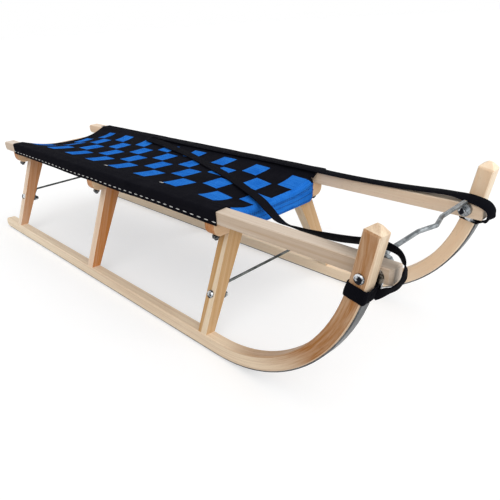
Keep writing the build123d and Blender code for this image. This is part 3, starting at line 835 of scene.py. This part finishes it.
for column in TACK_COLUMNS:
    x = FIRST_ALONG + (column - 0.42) * SQUARE_ALONG
    zigzag = [(x + i * 0.9 * mm, TACK_RUN + (i % 2) * 1.6 * mm) for i in range(8)]
    line = [skin(at, run, 0.5 * mm) for at, run in zigzag]
    seam(f"tack_{column}", line, white_thread, 1.1 * mm, 2.2 * mm, 0.9 * mm)
print("seams sewn: 2 hems,", len(FLAP_SEAMS), "on the flap,", len(TACK_COLUMNS), "tacks")

# %% [markdown]
# ## The wraps on the horns
#
# Each end of the strap is wound round its horn and sewn to itself. A wrap is a short
# sleeve of webbing, so it is built as a ring of points round the horn's rounded
# rectangle, pushed in and out a little, as wound layers are.

# %% Wind the wraps
LEAN = math.radians(3.5)
WRAP_TURN = math.radians(75.62)
HORN_WIDE, HORN_DEEP = 20 * mm, 24 * mm
BEND_RADIUS, BEND_START = 254.5 * mm, 287.0 * mm
SOLE_SIDE = 164.0 * mm
SOLE_LIFT = (HORN_WIDE - 2 * mm) * math.sin(LEAN)
WRAP_SIDES, WRAP_LEVELS = 72, 11
WRAP_PROUD, WRAP_CORNER = 1.9 * mm, 3 * mm
WRAP_HIGH, WRAP_THICKNESS = 18.5 * mm, 1.5 * mm
PATTERN_AROUND, PATTERN_HIGH = 1.3 * mm, 19 * mm


def wrap_ring(count, deep, wide, corner):
    """Points round a rounded rectangle, evenly spaced, with outward directions."""
    points = []
    straight = [2 * (wide - corner), 2 * (deep - corner)] * 2
    arc = corner * math.pi / 2
    around = sum(straight) + 4 * arc
    for i in range(count):
        run = around * i / count
        for side in range(4):
            heading = side * math.pi / 2
            out = Vector((math.cos(heading), math.sin(heading)))
            along = Vector((-out.y, out.x))
            reach = deep if side % 2 == 0 else wide
            span = wide if side % 2 == 0 else deep
            if run <= straight[side]:
                points.append((out * reach + along * (run - span + corner), out))
                break
            run -= straight[side]
            if run <= arc:
                turn = heading + run / corner
                centre = out * (reach - corner) + along * (span - corner)
                direction = Vector((math.cos(turn), math.sin(turn)))
                points.append((centre + direction * corner, direction))
                break
            run -= arc
    return points


def wind_wrap(side, name):
    """A wound strap on one horn; side is -1 for the right horn."""
    inward = Vector((0, -side * math.cos(LEAN), -math.sin(LEAN)))
    upward = Vector((0, -side * math.sin(LEAN), math.cos(LEAN)))
    ahead = Vector((1, 0, 0))
    radius = BEND_RADIUS - HORN_DEEP / 2
    origin = Vector((0, side * SOLE_SIDE, SOLE_LIFT)) + inward * HORN_WIDE / 2
    origin += ahead * (BEND_START + radius * math.sin(WRAP_TURN))
    origin += upward * (BEND_RADIUS - radius * math.cos(WRAP_TURN))
    along = ahead * math.cos(WRAP_TURN) + upward * math.sin(WRAP_TURN)
    outer = ahead * math.sin(WRAP_TURN) - upward * math.cos(WRAP_TURN)
    mesh = bmesh.new()
    weave = mesh.loops.layers.uv.new("Weave")
    deep, wide = HORN_DEEP / 2 + WRAP_PROUD, HORN_WIDE / 2 + WRAP_PROUD
    ring = wrap_ring(WRAP_SIDES, deep, wide, WRAP_CORNER)
    rows = []
    for level in range(WRAP_LEVELS):
        height = (level / (WRAP_LEVELS - 1) - 0.5) * WRAP_HIGH
        layer = 0.18 * mm if abs(level - WRAP_LEVELS // 2) < 4 else 0.0
        row = []
        for i, (place, out) in enumerate(ring):
            angle = 2 * math.pi * i / WRAP_SIDES
            round_x, round_y = math.cos(angle), math.sin(angle)
            tilt = math.sin(angle + 0.6) * 0.9 * mm
            fold = Vector((round_x * 2.2, round_y * 2.2, level * 0.35 + side))
            gather = Vector((round_x * 9, round_y * 9, level * 0.12 + 3 * side))
            push = layer + (noise.noise(fold) * 0.5 + noise.noise(gather) * 0.55) * mm
            at = place + out * max(-0.9 * mm, min(0.9 * mm, push))
            point = origin + outer * at.x + inward * at.y + along * (height + tilt)
            row.append(mesh.verts.new(point))
        rows.append(row)
    for level, (low, high) in enumerate(zip(rows, rows[1:])):
        for i in range(WRAP_SIDES):
            j = (i + 1) % WRAP_SIDES
            face = mesh.faces.new((low[i], low[j], high[j], high[i]))
            around = ((i, level), (i + 1, level), (i + 1, level + 1), (i, level + 1))
            for loop, (a, b) in zip(face.loops, around):
                across = (b / (WRAP_LEVELS - 1) - 0.5) * PATTERN_HIGH
                loop[weave].uv = (a * PATTERN_AROUND, across)
            face.smooth = True
    bmesh.ops.recalc_face_normals(mesh, faces=mesh.faces)
    middle = sum((v.co for v in mesh.verts), Vector()) / len(mesh.verts)
    first = next(iter(mesh.faces))
    if (first.calc_center_median() - middle).dot(first.normal) < 0:
        bmesh.ops.reverse_faces(mesh, faces=mesh.faces)
    piece = finish_mesh("horn_wrap_" + name, mesh)
    wall = piece.modifiers.new("thickness", "SOLIDIFY")
    wall.thickness = WRAP_THICKNESS
    wall.offset = -1
    smooth = piece.modifiers.new("smooth", "SUBSURF")
    smooth.levels = smooth.render_levels = 1
    piece.data.materials.append(strap_black)
    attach(piece, "root")
    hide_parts("strap_wrap_" + name)
    return piece


wraps = [wind_wrap(-1, "right"), wind_wrap(1, "left")]
print("wraps:", [len(wrap.data.polygons) for wrap in wraps])

# %% [markdown]
# ## Wood
#
# Beech is pale, with fine streaks along the grain, short dark flecks and a slow change
# of tone from board to board. Streaks are noise that is stretched along the grain, so
# each piece needs to say which way its grain runs. On the runners the grain follows
# the bend, because the wood was bent and not cut: the material unrolls the bend into a
# straight length before it looks up its noise.

# %% The ways that the grain runs
LEG_UP, LEG_OUT = 0.936, 0.352  # a leg's slope, as cosine and sine


def grain_along_x(x, y, z):
    return x, y, z


def grain_along_y(x, y, z):
    return y, x, z


def grain_along_leg(x, y, z):
    """Down a splayed leg; the same for left and right."""
    out = abs(y)
    return z * LEG_UP - out * LEG_OUT, out * LEG_UP + z * LEG_OUT, x


def grain_along_runner(x, y, z):
    """Along the sole, round the bend and up the horn."""
    ahead = x - BEND_START
    height = BEND_RADIUS - z
    turn = ahead.math("ARCTAN2", ahead, height)
    bent = ahead.ramp(0.0, 0.0005)
    distance = ahead.math("SQRT", ahead * ahead + height * height)
    along = ahead * (1 - bent) + turn * BEND_RADIUS * bent
    depth = z * (1 - bent) + (BEND_RADIUS - distance) * bent
    return along, y, depth


print("grain can run along x, along y, down a leg and round a runner")

# %% Beech
def beech(name, grain, face_axis, pale, deep, lean, seed, highlight_edge=None):
    """grain turns x, y, z into along, across and depth; the broad faces look along
    face_axis and are deeper in colour by lean: partly the wood's own face tone, partly
    painted shade for faces that the light reaches less. Where an edge x is given as the
    last argument, the side faces behind it are darker, and the pale strip left in front
    of it is a painted highlight."""
    finish = Finish(name, Specular_IOR_Level=0.2)
    x, y, z = finish.coordinates()
    along, across, depth = grain(x, y, z)
    facing = finish.coordinates("Normal")[face_axis]
    # Broad faces are deeper: partly the wood's own face tone, partly painted shade.
    broad_face_shade = abs(facing).ramp(0.55, 0.95)
    board = finish.noise(along * 1.3 + seed, across * 16, depth * 16, 2)
    rings = finish.noise(along * 2.2, across * 150 + seed, depth * 150, 3, 0.5)
    streaks = finish.noise(along * 9, across * 520, depth * 520 + seed, 4, 0.65)
    pores = finish.noise(along * 130, across * 1700 + seed, depth * 1700, 2)
    flecks = pores.ramp(0.64, 0.72)
    figure = (rings - 0.5) * 0.55 + (streaks - 0.5) * 0.55 + (board - 0.5) * 0.7
    tone = figure + 0.26 + broad_face_shade * lean
    if grain is grain_along_runner:
        inside = depth.ramp(0.0222, 0.0236) * x.ramp(BEND_START, BEND_START + 0.08)
        # The horns' sides are browner above the sole: partly wood tone, partly painted shade.
        tone = tone + broad_face_shade * z.ramp(0.02, 0.10) * 0.60 + inside * 0.4
    # Painted highlight: the side faces behind the edge x are darker, leaving a pale strip in front
    # like a lit chamfer.
    if highlight_edge:
        edge = x - highlight_edge - (board - 0.5) * 0.012 - (z - 0.1) * 0.03
        tone = tone + edge.ramp(0.0010, -0.0010) * (1 - broad_face_shade) * 0.65
    tone = tone.clamp()
    middle = tuple((a + b) / 2 for a, b in zip(pale, deep))
    colour = finish.colours(tone, [(0.0, pale), (0.5, middle), (1.0, deep)])
    colour = finish.mix(colour, tuple(part * 0.45 for part in deep), flecks * 0.3)
    finish.wear(
        Base_Color=colour,
        Roughness=(0.42 + streaks * 0.18 + flecks * 0.2).clamp(),
        Coat_Weight=(0.05 - flecks * 0.05).clamp(),
    )
    finish.shader.inputs["Coat Roughness"].default_value = 0.25
    finish.bump(streaks * 0.5 - flecks * 0.6 + rings * 0.3, 0.12 * mm)
    return finish.material


# %% Dress the wooden pieces
# Each deep colour goes on the broad faces, so it holds painted shade as well as the wood's tone.
RAIL_WOOD = (paint(232, 220, 206), paint(180, 147, 112), 0.25)
FAR_RAIL_WOOD = (paint(242, 223, 200), paint(212, 171, 132), 0.22)
LEG_WOOD = (paint(245, 229, 207), paint(190, 120, 58), 0.55)
PALE_LEG_WOOD = (paint(240, 223, 197), paint(188, 144, 90), 0.55)
YOKE_WOOD = (paint(232, 204, 168), paint(182, 114, 56), 0.60)
RUNNER_WOOD = (paint(254, 236, 208), paint(160, 103, 46), 0.0)
PALE_RUNNER_WOOD = (paint(255, 238, 212), paint(244, 208, 170), 0.0)
# Where the front right leg's sides turn from a painted highlight strip to darker wood.
HIGHLIGHT_EDGE = 0.2525             # x of the front right leg's change of tone

woods = {
    "rail_right": ("rail_wood_right", grain_along_x, 1, *RAIL_WOOD, 3.1),
    "rail_left": ("rail_wood_left", grain_along_x, 1, *FAR_RAIL_WOOD, 11.7),
    "runner_right": ("runner_wood_right", grain_along_runner, 1, *RUNNER_WOOD, 5.3),
    "runner_left": ("runner_wood_left", grain_along_runner, 1, *PALE_RUNNER_WOOD, 17.9),
}
for place, seed in (("front", 2.3), ("middle", 7.7), ("rear", 13.1)):
    woods[f"yoke_{place}"] = (f"yoke_wood_{place}", grain_along_y, 1, *YOKE_WOOD, seed)
    for side, more in (("right", 0.0), ("left", 41.0)):
        key = f"leg_{place}_{side}"
        wood = PALE_LEG_WOOD if place == "front" else LEG_WOOD
        woods[key] = (key + "_wood", grain_along_leg, 0, *wood, seed + 20 + more)
woods["leg_front_right"] += (HIGHLIGHT_EDGE,)


def dress(node, material):
    """Put a material on a piece of the model."""
    slots = bpy.data.objects[node].material_slots
    for slot in slots:
        slot.material = material
    if not slots:
        bpy.data.objects[node].data.materials.append(material)


for node, wood in woods.items():
    dress(node, beech(*wood))
print("wooden pieces:", len(woods))

# %% [markdown]
# ## Steel
#
# The shoes are flat drawn steel with scratches along them. The stays and the crossbar
# are dull plated rod. The bolts through horns and legs are bright zinc with painted dark
# reflections, darkest in the middle of each head; the plates beside the horns are plain
# zinc, and the bolts through the yokes are a darker copy of the zinc, as painted shade.

# %% Metals
def steel(name, dark, light, roughness, stretch, cloud, dark_reflection=0.0):
    """stretch gives the scratches' scale along X, Y and Z; the last argument darkens the
    faces that look sideways, which are the middles of the bolts' heads: a painted dark reflection."""
    finish = Finish(name, Metallic=1.0)
    x, y, z = finish.coordinates()
    lines = finish.noise(x * stretch[0], y * stretch[1], z * stretch[2], 4, 0.6)
    clouds = finish.noise(x * cloud, y * cloud, z * cloud, 4, 0.6)
    tone = lines * 0.5 + clouds * 0.5
    if dark_reflection:
        # Painted dark reflection in the middle of each bolt head.
        sideways = abs(finish.coordinates("Normal")[1]).ramp(0.80, 0.97)
        tone = (tone - sideways * dark_reflection).clamp()
    finish.wear(
        Base_Color=finish.colours(tone, [(0.44, dark), (0.56, light)]),
        Roughness=(lines * 0.25 + clouds * 0.15 + roughness - 0.2).clamp(),
    )
    finish.bump(lines, 0.03 * mm)
    return finish.material


ALONG_X, ALONG_Y = (8, 900, 900), (300, 20, 300)
EVEN, FINE = (100, 100, 100), (250, 250, 250)
shoe_steel = steel("shoe_steel", paint(66, 68, 70), paint(112, 114, 116), 0.42, ALONG_X, 30)
rod_steel = steel("rod_steel", paint(56, 60, 59), paint(106, 110, 108), 0.42, ALONG_Y, 90)
bar_steel = steel("bar_steel", paint(96, 101, 104), paint(158, 163, 166), 0.36, ALONG_Y, 90)
zinc = steel("zinc", paint(70, 76, 82), paint(214, 220, 226), 0.28, EVEN, 150)
# Bolt heads: clouds from near black to near white, partly painted dark reflections on cloudy
# plating.
bolt_zinc = steel("bolt_zinc", paint(24, 26, 31), paint(232, 236, 240), 0.26, EVEN, 150, 0.06)
# A darker copy of the zinc for the yoke bolts: painted shade, since their nuts face down.
shaded_zinc = steel("shaded_zinc", paint(34, 35, 37), paint(104, 106, 108), 0.4, FINE, 160)
print("metal finishes: shoes, stays, crossbar, plates, bright bolts and dull bolts")

# %% Dress the metal pieces
metals = {"crossbar": bar_steel, "leg_stay_front": rod_steel, "leg_stay_rear": rod_steel}
for side in ("right", "left"):
    metals[f"runner_shoe_{side}"] = shoe_steel
    metals[f"horn_bolt_{side}"] = bolt_zinc
    metals[f"horn_spacer_{side}"] = zinc
    for place in ("front", "middle", "rear"):
        metals[f"yoke_bolt_{place}_{side}"] = shaded_zinc
    for place in ("front", "rear"):
        metals[f"leg_bolt_{place}_{side}"] = bolt_zinc
for node, metal in metals.items():
    dress(node, metal)
print("metal pieces:", len(metals))

# %% [markdown]
# ## Floor and light
#
# The floor is pale and looks white from above. A studio sweep would do the same, but a
# plain plane is enough when the world behind it is white too. The floor glows for the
# camera and in mirrors only, and the world shows them plain white but lights the sled
# more softly. One wide sun above and ahead gives the shapes, and a weaker one fills the
# sled's right side.

# %% Floor
FLOOR_REACH = 30.0
FLOOR_DOWN = 0.5 * mm           # so that the shoes don't share its surface
FLOOR_GREY, FLOOR_GLOW = 0.62, 0.45
floor_mesh = bpy.data.meshes.new("floor")
corners = [(FLOOR_REACH * x, FLOOR_REACH * y, 0) for x, y in ((-1, -1), (1, -1), (1, 1), (-1, 1))]
floor_mesh.from_pydata(corners, [], [(0, 1, 2, 3)])
floor = bpy.data.objects.new("floor", floor_mesh)
scene.collection.objects.link(floor)
floor.location.z = -FLOOR_DOWN

floor_finish = Finish("floor", Roughness=0.9, Specular_IOR_Level=0.1)
floor_finish.wear(Base_Color=(FLOOR_GREY, FLOOR_GREY, FLOOR_GREY))
seen = floor_finish.node("ShaderNodeLightPath", output="Is Camera Ray")
mirrored = floor_finish.node("ShaderNodeLightPath", output="Is Glossy Ray")
strength = (seen + mirrored).clamp() * FLOOR_GLOW
glow = floor_finish.node("ShaderNodeEmission", None, {"Strength": strength})
matt = Value(floor_finish, floor_finish.shader.outputs[0])
both = floor_finish.node("ShaderNodeAddShader", None, {0: matt, 1: glow})
surface = floor_finish.tree.nodes["Material Output"].inputs["Surface"]
floor_finish.tree.links.new(both.socket, surface)
floor_mesh.materials.append(floor_finish.material)
print("floor:", 2 * FLOOR_REACH, "m wide")

# %% World
WORLD_LIGHT = 0.45
world = bpy.data.worlds.new("world")
world.use_nodes = True
scene.world = world
nodes, links = world.node_tree.nodes, world.node_tree.links
nodes.clear()
output = nodes.new("ShaderNodeOutputWorld")
light_path = nodes.new("ShaderNodeLightPath")
soft = nodes.new("ShaderNodeBackground")
white = nodes.new("ShaderNodeBackground")
choose = nodes.new("ShaderNodeMixShader")
for background, strength in ((soft, WORLD_LIGHT), (white, 1.0)):
    background.inputs["Strength"].default_value = strength
    background.inputs["Color"].default_value = (1, 1, 1, 1)
either = nodes.new("ShaderNodeMath")
either.operation = "MAXIMUM"
links.new(light_path.outputs["Is Camera Ray"], either.inputs[0])
links.new(light_path.outputs["Is Glossy Ray"], either.inputs[1])
links.new(either.outputs[0], choose.inputs[0])
links.new(soft.outputs[0], choose.inputs[1])
links.new(white.outputs[0], choose.inputs[2])
links.new(choose.outputs[0], output.inputs["Surface"])
print("world: white to the camera, and light of strength", WORLD_LIGHT)

# %% Lamps
def sun(name, place, power, angle):
    """A wide soft sun that shines from place towards the middle."""
    data = bpy.data.lights.new(name, "SUN")
    data.energy = power
    data.angle = math.radians(angle)
    piece = bpy.data.objects.new(name, data)
    scene.collection.objects.link(piece)
    piece.location = place
    piece.rotation_euler = (-Vector(place)).to_track_quat("-Z", "Y").to_euler()
    return piece


suns = [
    sun("key", (2.1, -0.1, 2.1), 1.85, 80),
    sun("fill", (1.3, -2.2, 1.3), 0.7, 60),
]
print("suns:", [lamp.name for lamp in suns])
